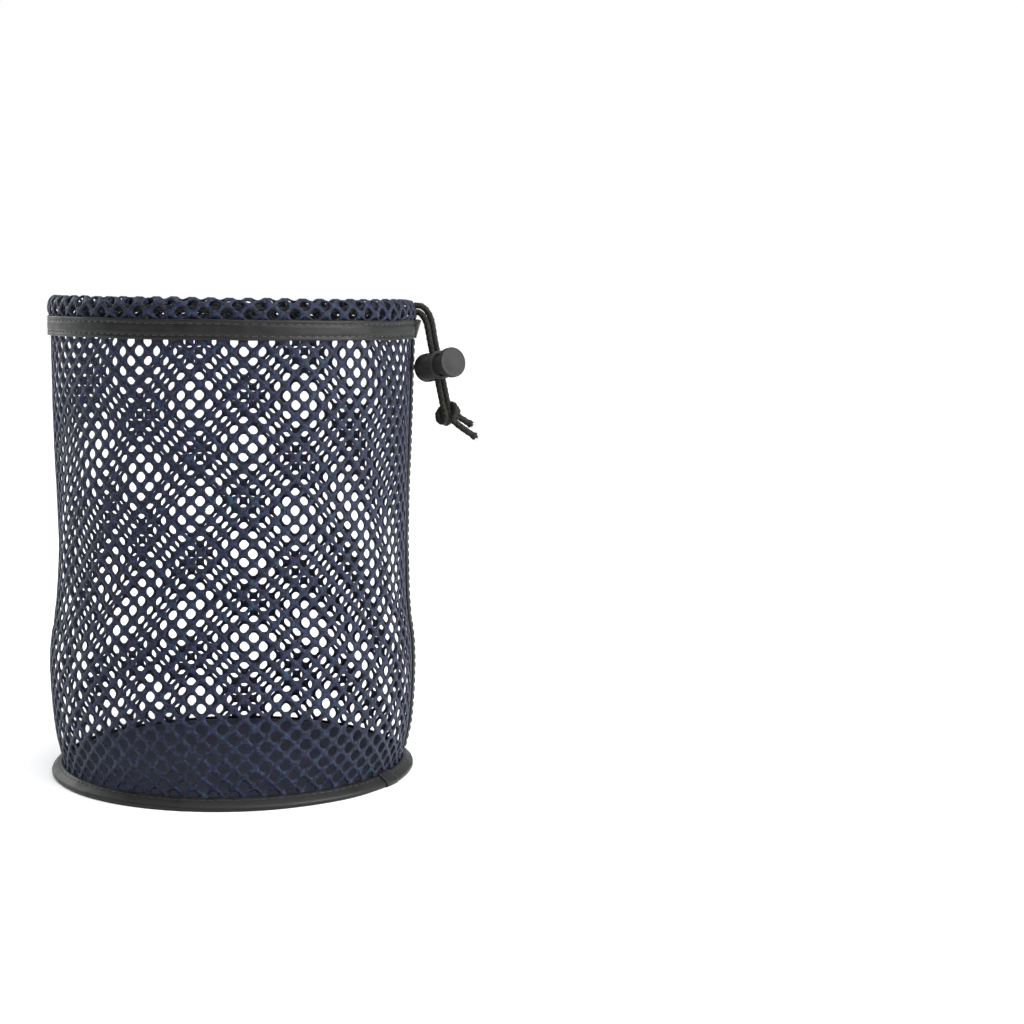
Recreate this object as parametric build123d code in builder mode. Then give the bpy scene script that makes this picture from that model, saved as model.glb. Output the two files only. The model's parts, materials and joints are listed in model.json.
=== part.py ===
"""Drawstring mesh bag for balls: a knitted mesh tube on a round fabric base, with a taped rim,
a cord channel above the rim and a spring cord lock on the two free ends of the cord.

Millimetres, +Z up, +X towards the side seam. The origin is on the floor, on the bag's axis.
"""

import os
from math import asin, atan2, cos, degrees, pi, radians, sin, tan

from build123d import *

# Overall sizes
BAG_HEIGHT = 177.0  # floor to the top of the cord channel
RIM_RADIUS = 67.4  # outer face of the rim tape
BASE_RADIUS = 68.0  # outer edge of the base binding

# Fabrics and tapes
MESH_THICKNESS = 0.9
BASE_FABRIC = 0.6
LAYER_GAP = 0.03  # between two sewn layers of one body
SOFT_GAP = 0.3  # between the wall and the rim that slides over it

# Base binding: a tape folded round the flange where wall and base are sewn together
BINDING_TAPE = 0.45
BINDING_WIDTH = 5.2
FLANGE_DROOP = 35.0  # degrees below level
REST_FLAT = 0.25  # how much of the fold is pressed flat where the bag stands
BASE_SAG = 2.2  # how far the middle of the base lies below its edge
BASE_FLAT = 0.4  # of the base's radius, its flat middle
FOOT_BEND = 1.3  # radius of the wall's turn out of the binding
FOOT_LEAN = 15.0  # degrees outwards where the wall leaves that turn

# Rim tape and cord channel
TAPE_WIDTH = 7.0
TAPE_THICKNESS = 0.8
TAPE_ROUNDING = 0.32
STITCH_INSET = 1.5  # stitch rows from the tape's edges
THREAD_RADIUS = 0.22
THREAD_GAP = 0.05
CHANNEL_WIDTH = 5.2
CHANNEL_HEIGHT = 6.9
CHANNEL_INSET = 0.2  # channel's outer face behind the tape's
HEM_HEIGHT = 3.6  # channel hem sewn behind the tape

# Side seam: the bound edge of the mesh, on the outside of the wall
SEAM_WIDTH = 6.0
SEAM_THICKNESS = 1.2
SEAM_GAP = 0.12  # between the bound edge and the wall
SEAM_TURN = -0.8  # degrees from +X to the seam line, where the bound edge starts
SEAM_STITCH_SHARE = 0.3  # of the bound edge's width
SEAM_FOOT = 0.6  # above the base binding

# How far the soft wall stands out from a straight line between its two ends, at shares of height
WALL_SWELL = (
    (0.03, 1.4),
    (0.08, 2.9),
    (0.15, 3.7),
    (0.22, 3.7),
    (0.29, 2.9),
    (0.35, 1.2),
    (0.41, 0.4),
    (0.62, 0.4),
    (0.82, 0.6),
)

# Cord: one loop in the channel, its two ends leave together by the seam
CORD_DIAMETER = 2.3
EXIT_SIDESTEP = -4.75  # from the seam's plane to the middle of the channel's exit
EXIT_WIDTH = 7.2
EXIT_HEIGHT = 5.4
EXIT_ROUNDING = 2.1

# Routes of the cord's two ends, from the rim tape's outer face and the top of the channel:
# out of the channel, over its edge, through the lock and down to the knot
OUTER_END = (
    (-3.6, -10.1, -3.45),
    (-2.5, -4.8, -2.2),
    (2.5, -5.0, -1.4),
    (5.6, -5.6, -5.2),
    (6.6, -6.1, -9.6),
    (7.32, -6.68, -14.66),
    (12.38, -8.56, -39.07),
)
INNER_END = (
    (-2.9, 3.9, -3.45),
    (-2.5, -4.2, -4.7),
    (1.3, -5.6, -3.8),
    (3.8, -6.5, -6.8),
    (4.7, -7.3, -10.8),
    (5.28, -7.9, -14.99),
    (10.34, -9.78, -39.4),
)
LONG_TAIL = (
    (13.2, -10.3, -43.6),
    (17.0, -10.7, -47.0),
    (22.7, -10.2, -50.6),
)
SHORT_TAIL = (
    (14.4, -9.2, -42.0),
    (18.0, -9.0, -44.1),
    (21.2, -8.4, -46.1),
)

# Cord lock, measured along its axis from the middle of the cord pair
LOCK_DISTANCE = 9.4  # down the cord from its last bend
LOCK_AXIS = Vector(0.487, -0.857, 0.167)  # towards the button
BARREL_RADIUS = 5.4
BARREL_BACK = 8.2
BARREL_FRONT = 3.0
BARREL_FLOOR = 1.3
BACK_ROUNDING = 1.0
MOUTH_ROUNDING = 0.3
BORE_RADIUS = 4.25
STEM_GAP = 0.1
HEAD_RADIUS = 5.6
HEAD_REACH = 10.5  # to the rim of the domed head
HEAD_THICKNESS = 2.2
HEAD_BEVEL = 0.4
DOME_RISE = 0.9
BUTTON_TRAVEL = 3.2
CORD_GAP = 0.1  # between the gripping edges and the cord, which is modelled uncrushed
SIDE_GAP = 0.25
SLOT_BACK = 4.6
SLOT_ROUNDING = 0.8
STEM_WEB = 0.85  # behind the stem's cord hole
SPRING_WIRE = 0.45
SPRING_TURNS = 3.0
SPRING_GAP = 0.15

# Knot: a wrap of cord round both strands
KNOT_HEIGHT = 7.0
KNOT_CORE_RADIUS = 2.75
WRAP_RADIUS = 2.75
WRAP_SECTION = 1.7
WRAP_TILT = 24.0  # degrees
CORE_ROUNDING = 0.35

# Derived heights and radii
tape_bottom = BAG_HEIGHT - CHANNEL_HEIGHT - TAPE_WIDTH
tape_top = BAG_HEIGHT - CHANNEL_HEIGHT
wall_top = tape_top - HEM_HEIGHT - SOFT_GAP
wall_top_radius = RIM_RADIUS - TAPE_THICKNESS - SOFT_GAP
channel_radius = RIM_RADIUS - CHANNEL_INSET - CHANNEL_WIDTH / 2
channel_middle = BAG_HEIGHT - CHANNEL_HEIGHT / 2
rim_corner = Vector(RIM_RADIUS, 0.0, BAG_HEIGHT)

# Flange frame: along is outwards and down, across is out of its upper face
droop = radians(FLANGE_DROOP)
binding_half = BINDING_TAPE + (MESH_THICKNESS + BASE_FABRIC + 3 * LAYER_GAP) / 2
fold_radius = BASE_RADIUS - binding_half
fold_height = binding_half - REST_FLAT
slot_half = binding_half - BINDING_TAPE
inner_end = binding_half - BINDING_WIDTH
disc_level = -slot_half + LAYER_GAP + BASE_FABRIC / 2
mesh_level = slot_half - LAYER_GAP - MESH_THICKNESS / 2


def flange(along, across):
    """Point in the flange's section: along 0 is the centre of the outer fold."""
    return (
        fold_radius + along * cos(droop) + across * sin(droop),
        fold_height - along * sin(droop) + across * cos(droop),
    )


def wall_points(inset):
    """Points up the wall's section from the turn at its foot, inset from its middle line."""
    start_r, start_z = flange(inner_end, mesh_level)
    turn_r = start_r + FOOT_BEND * (sin(droop) - cos(radians(FOOT_LEAN)))
    turn_z = start_z + FOOT_BEND * (cos(droop) + sin(radians(FOOT_LEAN)))
    top_r = wall_top_radius - MESH_THICKNESS / 2
    points = [(turn_r - inset, turn_z)]
    for share, swell in WALL_SWELL:
        r = turn_r + (top_r - turn_r) * share + swell
        points.append((r - inset, turn_z + (wall_top - turn_z) * share))
    points.append((top_r - inset, wall_top))
    return points


def thread_ring(radius, height):
    """A round of stitching as one thin thread."""
    with BuildPart() as ring:
        with BuildSketch(Plane.XZ):
            with Locations((radius, height)):
                Circle(THREAD_RADIUS)
        revolve(axis=Axis.Z)
    return ring


def cord_tube(points, name):
    """A round cord whose straight runs are joined by tangent arcs as large as the runs allow."""
    corners = [rim_corner + Vector(*point) for point in points]
    radii = []
    for before, corner, after in zip(corners, corners[1:], corners[2:]):
        turn = (corner - before).get_angle(after - corner)
        shorter = min((corner - before).length, (after - corner).length)
        radii.append(0.45 * shorter / tan(radians(turn) / 2))
    print(name, "bend radii", [round(r, 1) for r in radii])
    with BuildPart() as tube:
        with BuildLine():
            route = FilletPolyline(*corners, radius=radii)
        with BuildSketch(Plane(origin=route @ 0, z_dir=route % 0)):
            Circle(CORD_DIAMETER / 2)
        sweep(path=route)
    section = pi * CORD_DIAMETER**2 / 4
    print(name, "length", round(route.length, 2), "volume / section",
          round(tube.part.volume / section, 2))
    return tube


# Base disc: dished fabric whose edge runs out into the binding
with BuildPart() as base_disc:
    with BuildSketch(Plane.XZ):
        with BuildLine():
            edge = flange(inner_end - BASE_FABRIC, disc_level)
            low = (edge[0] * BASE_FLAT, edge[1] - BASE_SAG)
            Line((0.0, low[1]), low)
            TangentArc(low, edge, tangent=(1.0, 0.0))
            Line(edge, flange(-LAYER_GAP, disc_level))
        trace(line_width=BASE_FABRIC)
    revolve(axis=Axis.Z)

# Base binding: a tape folded round the flange
with BuildPart() as base_binding:
    with BuildSketch(Plane.XZ):
        with Locations(flange(0.0, 0.0)):
            Circle(binding_half)
        with BuildLine():
            Polyline(
                flange(0.0, binding_half),
                flange(inner_end, binding_half),
                flange(inner_end, -binding_half),
                flange(0.0, -binding_half),
                close=True,
            )
        make_face()
        with BuildLine():
            Polyline(
                flange(0.0, slot_half),
                flange(2 * inner_end, slot_half),
                flange(2 * inner_end, -slot_half),
                flange(0.0, -slot_half),
                close=True,
            )
        make_face(mode=Mode.SUBTRACT)
    revolve(axis=Axis.Z)
    split(bisect_by=Plane.XY, keep=Keep.TOP)

# Mesh wall: turns out of the binding and stands up to the rim
wall_ends = ((sin(radians(FOOT_LEAN)), cos(radians(FOOT_LEAN))), (0.0, 1.0))
with BuildPart() as mesh_wall:
    with BuildSketch(Plane.XZ):
        with BuildLine():
            Line(flange(-LAYER_GAP, mesh_level), flange(inner_end, mesh_level))
            JernArc(
                start=flange(inner_end, mesh_level),
                tangent=(-cos(droop), sin(droop)),
                radius=FOOT_BEND,
                arc_size=FLANGE_DROOP - FOOT_LEAN - 90.0,
            )
            Spline(*wall_points(0.0), tangents=wall_ends)
        trace(line_width=MESH_THICKNESS)
    revolve(axis=Axis.Z)

# Side seam: its bound edge lies back flat against the outside of the wall
seam_inset = -(MESH_THICKNESS / 2 + SEAM_GAP + SEAM_THICKNESS / 2)
seam_arc = degrees(SEAM_WIDTH / RIM_RADIUS)
below_rim = Plane.XY.offset(tape_bottom - SOFT_GAP)
above_binding = Plane.XY.offset(flange(inner_end, binding_half)[1] + SEAM_FOOT)
with BuildPart() as seam_binding:
    with BuildSketch(Plane.XZ.rotated((0, 0, SEAM_TURN))):
        with BuildLine():
            Spline(*wall_points(seam_inset), tangents=wall_ends)
        trace(line_width=SEAM_THICKNESS)
    revolve(axis=Axis.Z, revolution_arc=seam_arc)
    split(bisect_by=below_rim, keep=Keep.BOTTOM)
    split(bisect_by=above_binding, keep=Keep.TOP)

thread_arc = degrees(2 * THREAD_RADIUS / RIM_RADIUS)
thread_inset = seam_inset - SEAM_THICKNESS / 2 - THREAD_RADIUS - THREAD_GAP
with BuildPart() as seam_stitching:
    with BuildSketch(Plane.XZ.rotated((0, 0, SEAM_TURN + seam_arc * SEAM_STITCH_SHARE))):
        with BuildLine():
            Spline(*wall_points(thread_inset), tangents=wall_ends)
        trace(line_width=2 * THREAD_RADIUS)
    revolve(axis=Axis.Z, revolution_arc=thread_arc)
    split(bisect_by=below_rim, keep=Keep.BOTTOM)
    split(bisect_by=above_binding, keep=Keep.TOP)

# Base stitching, on the binding's upper face
base_stitching = thread_ring(*flange(inner_end + STITCH_INSET, binding_half + THREAD_RADIUS))

# Rim tape, with a groove for each row of stitching
stitch_heights = (tape_top - STITCH_INSET, tape_bottom + STITCH_INSET)
stitch_radius = RIM_RADIUS - THREAD_RADIUS / 2
with BuildPart() as rim_tape:
    with BuildSketch(Plane.XZ):
        with Locations((RIM_RADIUS - TAPE_THICKNESS / 2, (tape_top + tape_bottom) / 2)):
            RectangleRounded(TAPE_THICKNESS, TAPE_WIDTH, TAPE_ROUNDING)
        with Locations(*[(stitch_radius, z) for z in stitch_heights]):
            Circle(THREAD_RADIUS + THREAD_GAP, mode=Mode.SUBTRACT)
    revolve(axis=Axis.Z)

rim_stitching_upper = thread_ring(stitch_radius, stitch_heights[0])
rim_stitching_lower = thread_ring(stitch_radius, stitch_heights[1])

# Cord channel: the mesh folded over on itself, its hem standing behind the tape
hem_bottom = tape_top - HEM_HEIGHT
with BuildPart() as mesh_casing:
    with BuildSketch(Plane.XZ.rotated((0, 0, 180))):
        with Locations((channel_radius, channel_middle)):
            SlotOverall(CHANNEL_HEIGHT, CHANNEL_WIDTH, rotation=90.0)
        hem_radius = RIM_RADIUS - TAPE_THICKNESS - LAYER_GAP - MESH_THICKNESS
        with Locations((hem_radius, (hem_bottom + channel_middle) / 2)):
            Rectangle(2 * MESH_THICKNESS, channel_middle - hem_bottom)
        with Locations((channel_radius, channel_middle)):
            SlotOverall(
                CHANNEL_HEIGHT - 2 * MESH_THICKNESS,
                CHANNEL_WIDTH - 2 * MESH_THICKNESS,
                rotation=90.0,
                mode=Mode.SUBTRACT,
            )
    revolve(axis=Axis.Z)
    exit_turn = asin(EXIT_SIDESTEP / channel_radius)
    exit_way = Vector(cos(exit_turn), sin(exit_turn), 0.0)
    exit_middle = exit_way * channel_radius + Vector(0.0, 0.0, channel_middle)
    with BuildSketch(Plane(origin=exit_middle, z_dir=exit_way)):
        RectangleRounded(EXIT_WIDTH, EXIT_HEIGHT, EXIT_ROUNDING)
    extrude(amount=CHANNEL_WIDTH, mode=Mode.SUBTRACT)

# Cord: the loop in the channel, from where the inner end starts round to the outer end
inner_start = rim_corner + Vector(*INNER_END[0])
outer_start = rim_corner + Vector(*OUTER_END[0])
loop_start = degrees(atan2(inner_start.Y, inner_start.X))
loop_end = degrees(atan2(outer_start.Y, outer_start.X)) + 360.0
with BuildPart() as drawcord_loop:
    with BuildSketch(Plane.XZ.rotated((0, 0, loop_start))):
        with Locations((channel_radius, channel_middle)):
            Circle(CORD_DIAMETER / 2)
    revolve(axis=Axis.Z, revolution_arc=loop_end - loop_start)

# Cord: the two ends, over the edge of the channel and down through the lock to the knot
cord_end_outer = cord_tube(OUTER_END, "cord_end_outer")
cord_end_inner = cord_tube(INNER_END, "cord_end_inner")

# Directions down the cord, along the lock and across the pair of strands
last_bend = rim_corner + (Vector(*OUTER_END[-2]) + Vector(*INNER_END[-2])) / 2
cord_foot = rim_corner + (Vector(*OUTER_END[-1]) + Vector(*INNER_END[-1])) / 2
down_cord = (cord_foot - last_bend).normalized()
lock_axis = (LOCK_AXIS - down_cord * LOCK_AXIS.dot(down_cord)).normalized()
across = lock_axis.cross(down_cord).normalized()
lock_centre = last_bend + down_cord * LOCK_DISTANCE
strand_gap = (Vector(*OUTER_END[-1]) - Vector(*INNER_END[-1])).length
lock_plane = Plane(origin=lock_centre, x_dir=across, z_dir=lock_axis)
cord_plane = Plane(origin=lock_centre, x_dir=across, z_dir=down_cord)

# Knot: a core round both strands with a tilted wrap
knot_plane = Plane(origin=cord_foot, x_dir=across, z_dir=down_cord)
with BuildPart() as cord_knot:
    with BuildSketch(knot_plane):
        Circle(KNOT_CORE_RADIUS)
    extrude(amount=KNOT_HEIGHT)
    fillet(cord_knot.edges().filter_by(GeomType.CIRCLE), CORE_ROUNDING)
    with Locations(knot_plane.offset(KNOT_HEIGHT / 2).rotated((0.0, WRAP_TILT, 0.0))):
        Torus(WRAP_RADIUS, WRAP_SECTION)

# Tails of the two strands below the knot
cord_tail_long = cord_tube(LONG_TAIL, "cord_tail_long")
with cord_tail_long:
    add(cord_knot.part, mode=Mode.SUBTRACT)
cord_tail_short = cord_tube(SHORT_TAIL, "cord_tail_short")
with cord_tail_short:
    add(cord_knot.part, mode=Mode.SUBTRACT)

# Lock: places along its axis from the middle of the cord pair
grip = CORD_DIAMETER / 2 + CORD_GAP
stem_hole_front = grip + BUTTON_TRAVEL
stem_back = -grip - STEM_WEB
bore_back = BARREL_FLOOR - BARREL_BACK
head_back = HEAD_REACH - HEAD_THICKNESS
stem_radius = BORE_RADIUS - STEM_GAP
slot_width = strand_gap + CORD_DIAMETER + 2 * SIDE_GAP

# Lock barrel: a cup with a slot for both strands through its sides
with BuildPart() as lock_barrel:
    with BuildSketch(lock_plane.offset(-BARREL_BACK)):
        Circle(BARREL_RADIUS)
    extrude(amount=BARREL_BACK + BARREL_FRONT)
    ends = lock_barrel.edges().filter_by(GeomType.CIRCLE).sort_by(Axis(lock_centre, lock_axis))
    fillet(ends[0], BACK_ROUNDING)
    fillet(ends[-1], MOUTH_ROUNDING)
    with BuildSketch(lock_plane.offset(bore_back)):
        Circle(BORE_RADIUS)
    extrude(amount=BARREL_FRONT - bore_back, mode=Mode.SUBTRACT)
    with BuildSketch(cord_plane):
        with Locations((0.0, (grip - SLOT_BACK) / 2)):
            RectangleRounded(slot_width, SLOT_BACK + grip, SLOT_ROUNDING)
    extrude(amount=2 * BARREL_RADIUS, both=True, mode=Mode.SUBTRACT)

# Lock plunger: stem with the sliding cord hole, and a domed head to press
with BuildPart() as lock_plunger:
    with BuildSketch(lock_plane.offset(stem_back)):
        Circle(stem_radius)
    extrude(amount=head_back - stem_back)
    with BuildSketch(cord_plane):
        with Locations((0.0, (stem_hole_front - grip) / 2)):
            RectangleRounded(slot_width, stem_hole_front + grip, SLOT_ROUNDING)
    extrude(amount=2 * BARREL_RADIUS, both=True, mode=Mode.SUBTRACT)
    with BuildSketch(cord_plane):
        rim_edge = HEAD_RADIUS - HEAD_BEVEL
        dome_edge = rim_edge - HEAD_BEVEL
        with BuildLine():
            Polyline(
                (0.0, HEAD_REACH + DOME_RISE),
                (0.0, head_back),
                (HEAD_RADIUS, head_back),
                (HEAD_RADIUS, HEAD_REACH - HEAD_BEVEL),
                (rim_edge, HEAD_REACH),
                (dome_edge, HEAD_REACH),
            )
            dome_radius = (dome_edge**2 + DOME_RISE**2) / (2 * DOME_RISE)
            CenterArc(
                center=(0.0, HEAD_REACH + DOME_RISE - dome_radius),
                radius=dome_radius,
                start_angle=90.0,
                arc_size=-degrees(asin(dome_edge / dome_radius)),
            )
        make_face()
    revolve(axis=Axis(lock_centre, lock_axis))

# Lock spring: between the barrel's floor and the back of the stem
spring_ends = SPRING_GAP + SPRING_WIRE / 2
spring_length = stem_back - bore_back - 2 * spring_ends
with BuildPart() as lock_spring:
    with BuildLine() as coil:
        Helix(
            pitch=spring_length / SPRING_TURNS,
            height=spring_length,
            radius=BORE_RADIUS - STEM_GAP - 2 * SPRING_WIRE,
            center=lock_centre + lock_axis * (bore_back + spring_ends),
            direction=lock_axis,
        )
    with BuildSketch(Plane(origin=coil.line @ 0, z_dir=coil.line % 0)):
        Circle(SPRING_WIRE / 2)
    sweep(path=coil.line, is_frenet=True)

pieces = {
    "base_disc": base_disc,
    "base_binding": base_binding,
    "base_stitching": base_stitching,
    "mesh_wall": mesh_wall,
    "seam_binding": seam_binding,
    "seam_stitching": seam_stitching,
    "rim_tape": rim_tape,
    "rim_stitching_upper": rim_stitching_upper,
    "rim_stitching_lower": rim_stitching_lower,
    "mesh_casing": mesh_casing,
    "drawcord_loop": drawcord_loop,
    "cord_end_outer": cord_end_outer,
    "cord_end_inner": cord_end_inner,
    "cord_knot": cord_knot,
    "cord_tail_long": cord_tail_long,
    "cord_tail_short": cord_tail_short,
    "lock_barrel": lock_barrel,
    "lock_plunger": lock_plunger,
    "lock_spring": lock_spring,
}
os.makedirs("parts", exist_ok=True)
for name, piece in pieces.items():
    piece.part.label = name
    export_step(piece.part, f"parts/{name}.step")
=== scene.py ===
"""Looks of a drawstring mesh ball bag, built round its CAD frame.

The net is one knitted piece bent round the wall's own outline, the mouth is the same net folded
over the cord, and the tapes, cords, knot, lock and base are modelled as they are sewn and tied.
Metres, +Z up, in the frame of the CAD model.
"""

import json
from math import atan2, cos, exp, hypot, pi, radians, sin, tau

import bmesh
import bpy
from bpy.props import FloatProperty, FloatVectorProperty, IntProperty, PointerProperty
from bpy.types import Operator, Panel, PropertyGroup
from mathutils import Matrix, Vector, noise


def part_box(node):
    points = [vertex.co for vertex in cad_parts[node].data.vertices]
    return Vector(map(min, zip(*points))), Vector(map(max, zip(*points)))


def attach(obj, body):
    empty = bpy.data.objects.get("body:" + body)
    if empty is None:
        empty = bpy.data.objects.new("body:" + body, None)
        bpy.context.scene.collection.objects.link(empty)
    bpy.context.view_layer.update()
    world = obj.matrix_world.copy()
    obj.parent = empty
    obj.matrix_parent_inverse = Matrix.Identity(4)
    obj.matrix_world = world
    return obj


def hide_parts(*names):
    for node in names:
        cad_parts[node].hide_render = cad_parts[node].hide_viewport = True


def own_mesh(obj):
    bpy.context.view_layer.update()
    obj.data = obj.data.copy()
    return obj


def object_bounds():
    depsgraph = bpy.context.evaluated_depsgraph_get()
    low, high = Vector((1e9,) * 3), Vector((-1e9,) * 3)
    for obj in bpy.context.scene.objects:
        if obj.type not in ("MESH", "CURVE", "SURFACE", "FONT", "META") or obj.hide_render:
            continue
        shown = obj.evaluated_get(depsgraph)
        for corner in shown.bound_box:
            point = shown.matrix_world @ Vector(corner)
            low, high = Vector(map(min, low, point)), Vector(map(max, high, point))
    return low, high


bl_info = {
    "name": "Mesh ball bag",
    "version": (1, 0, 0),
    "blender": (4, 5, 0),
    "location": "View3D > Sidebar > Ball Bag",
    "description": "Builds the net, tapes, cord, lock and base of a drawstring mesh ball bag",
    "category": "Object",
}

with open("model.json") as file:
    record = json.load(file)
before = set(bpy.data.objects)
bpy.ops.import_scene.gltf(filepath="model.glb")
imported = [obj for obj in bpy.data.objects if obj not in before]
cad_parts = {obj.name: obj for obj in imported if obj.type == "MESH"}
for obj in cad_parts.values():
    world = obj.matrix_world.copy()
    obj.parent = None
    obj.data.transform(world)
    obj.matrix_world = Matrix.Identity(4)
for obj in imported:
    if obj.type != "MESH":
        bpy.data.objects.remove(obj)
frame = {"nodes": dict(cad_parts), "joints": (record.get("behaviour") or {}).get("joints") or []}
cad_low, cad_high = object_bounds()
node_boxes = {name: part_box(name) for name in frame["nodes"]}

# Routes of the cord's two ends and of the tails, from the rim tape's outer face and the top of
# the channel: out of the channel, over its edge, through the lock and down to the knot
OUTER_END = (
    (-0.0036, -0.0101, -0.00345),
    (-0.0025, -0.0048, -0.0022),
    (0.0025, -0.0050, -0.0014),
    (0.0056, -0.0056, -0.0052),
    (0.0066, -0.0061, -0.0096),
    (0.00732, -0.00668, -0.01466),
    (0.01238, -0.00856, -0.03907),
)
INNER_END = (
    (-0.0029, 0.0039, -0.00345),
    (-0.0025, -0.0042, -0.0047),
    (0.0013, -0.0056, -0.0038),
    (0.0038, -0.0065, -0.0068),
    (0.0047, -0.0073, -0.0108),
    (0.00528, -0.0079, -0.01499),
    (0.01034, -0.00978, -0.0394),
)
LONG_TAIL = (
    (0.0132, -0.0103, -0.0436),
    (0.0170, -0.0107, -0.0470),
    (0.0227, -0.0102, -0.0506),
)
SHORT_TAIL = (
    (0.0144, -0.0092, -0.0420),
    (0.0180, -0.0090, -0.0441),
    (0.0212, -0.0084, -0.0461),
)
# The pair's way round the knot, from its foot: down in front, left, up behind, right and down
KNOT_TURNS = (
    (0.0003, -0.0008, -0.0016),
    (0.0008, -0.0020, -0.0040),
    (0.0000, -0.0012, -0.0062),
    (-0.0021, 0.0004, -0.0054),
    (-0.0022, 0.0014, -0.0026),
    (0.0004, 0.0026, -0.0006),
    (0.0034, 0.0012, 0.0004),
    (0.0042, -0.0012, -0.0016),
    (0.0030, -0.0012, -0.0042),
)

SEAM_ANGLE = radians(-2.0)  # where the net's two edges meet
EXIT_ANGLE = radians(-4.0)  # middle of the stretch that the cord drags outwards
STRAND_SHARE = 0.54  # a knotted strand's radius, of the cord's diameter
PAIR_CLOSENESS = 0.82  # of the strands' distance apart, once they are in the knot
FOLD_ROWS = 4  # double rows in the folded mouth
FOLD_ROW = 0.0066  # height of one of them
FOLD_RADIUS = 0.00215  # of the mouth's turn over the cord
NET_HALF = 0.00045  # from the CAD mouth's surface to the net's middle

rim_corner = Vector((node_boxes["rim_tape"][1].x, 0.0, node_boxes["mesh_casing"][1].z))


# --- Settings ---------------------------------------------------------------------------------


def a_length(name, description, default):
    """A length setting, in metres."""
    return FloatProperty(
        name=name, description=description, default=default, subtype="DISTANCE"
    )


def a_colour(name, description, default):
    """A linear colour setting."""
    return FloatVectorProperty(
        name=name, description=description, default=default, subtype="COLOR", size=3
    )


class NetSettings(PropertyGroup):
    """The knitted net of the wall and of the folded mouth."""

    columns: IntProperty(name="Columns", description="Holes round the wall", default=57)
    rows: IntProperty(name="Double rows", description="Pairs of hole rows up the wall", default=23)
    fold_columns: IntProperty(name="Fold columns", description="Holes round the mouth", default=54)
    hole_width: a_length("Hole width", "Across one hole", 0.0041)
    hole_height: a_length("Hole height", "Up one hole", 0.0042)
    thickness: a_length("Thickness", "Through a strand's edge", 0.00040)
    ridge: a_length("Ridge", "How far a strand's middle stands out", 0.00016)
    droop_of_rows: a_length("Unevenness", "How far rows wander", 0.00035)


class TapeSettings(PropertyGroup):
    """The rim tape, the base binding, the seam's bound edge and their stitches."""

    flange_droop: FloatProperty(
        name="Flange droop", description="Base binding's tilt below level", default=radians(35.0),
        subtype="ANGLE",
    )
    binding_width: a_length("Binding width", "Edge to edge of the folded tape", 0.0052)
    binding_half: a_length("Binding half thickness", "Half of the sewn edge's thickness", 0.001245)
    tape_layer: a_length("Tape layer", "One layer of binding tape", 0.00045)
    stitch_inset: a_length("Stitch inset", "Stitch row from a tape's edge", 0.0015)
    stitch_length: a_length("Stitch length", "One stitch", 0.0024)
    stitch_pitch: a_length("Stitch pitch", "From stitch to stitch", 0.0031)
    thread: a_length("Thread", "Thread diameter", 0.00042)
    wave: a_length("Wave", "How unevenly a sewn tape lies", 0.0004)


class CordSettings(PropertyGroup):
    """The braided cord and its lock."""

    diameter: a_length("Diameter", "Across the cord", 0.0023)
    end_length: a_length("End length", "Each free end, channel to knot", 0.0485)
    braid_lobes: IntProperty(
        name="Braid lobes", description="Yarn bundles seen round the cord", default=5
    )
    braid_pitch: a_length("Braid pitch", "One crossing along the cord", 0.0011)
    braid_rise: a_length("Braid rise", "How far a yarn bundle stands out", 0.00016)
    barrel_radius: a_length("Barrel radius", "Lock barrel", 0.0054)
    head_radius: a_length("Button radius", "Lock button's head", 0.0056)


class ColourSettings(PropertyGroup):
    """Colours of the bag's materials, linear."""

    net_dark: a_colour("Net, deep", "Shaded yarn", (0.0035, 0.0048, 0.0130))
    net_light: a_colour("Net, bright", "Yarn that catches light", (0.021, 0.027, 0.085))
    tape: a_colour("Tape", "Binding and rim tape", (0.0042, 0.0048, 0.0041))
    cord: a_colour("Cord", "Braided cord", (0.0065, 0.0074, 0.0052))
    fabric: a_colour("Base fabric", "Woven base", (0.0032, 0.0056, 0.0210))
    plastic: a_colour("Lock plastic", "Barrel and button", (0.006, 0.0062, 0.006))


class StageSettings(PropertyGroup):
    """Camera, floor and light."""

    place: FloatVectorProperty(
        name="Camera", description="Where the camera stands", default=(0.0, -0.711, 0.180),
        subtype="TRANSLATION", size=3,
    )
    heading: FloatProperty(
        name="Heading", description="Turn to the right of +Y", default=radians(8.47),
        subtype="ANGLE",
    )
    pitch: FloatProperty(
        name="Pitch", description="Tilt below level", default=radians(6.61), subtype="ANGLE"
    )
    roll: FloatProperty(
        name="Roll", description="Camera turned counterclockwise", default=radians(0.81),
        subtype="ANGLE",
    )
    lens: FloatProperty(
        name="Lens", description="Focal length", default=66.09, subtype="DISTANCE_CAMERA"
    )
    sky: FloatProperty(name="Sky", description="Strength of the pale surroundings", default=0.55)
    key: FloatProperty(name="Key", description="Strength of the wide overhead light", default=2.6)


# --- Shared making ----------------------------------------------------------------------------


class Outline:
    """A line of (radius, height) points round the bag's axis, followed by its length."""

    def __init__(self, points):
        self.points = [Vector(point) for point in points]
        self.reached = [0.0]
        for before, after in zip(self.points, self.points[1:]):
            self.reached.append(self.reached[-1] + (after - before).length)
        self.length = self.reached[-1]

    def point(self, distance):
        """The point this far along."""
        distance = min(max(distance, 0.0), self.length)
        step = 1
        while self.reached[step] < distance and step < len(self.reached) - 1:
            step += 1
        span = self.reached[step] - self.reached[step - 1]
        share = (distance - self.reached[step - 1]) / span
        return self.points[step - 1].lerp(self.points[step], share)

    def at(self, distance, reach=0.0012):
        """The point this far along, and the direction square to the line there."""
        ahead = self.point(distance + reach) - self.point(distance - reach)
        ahead.normalize()
        return self.point(distance), Vector((ahead.y, -ahead.x))


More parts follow.
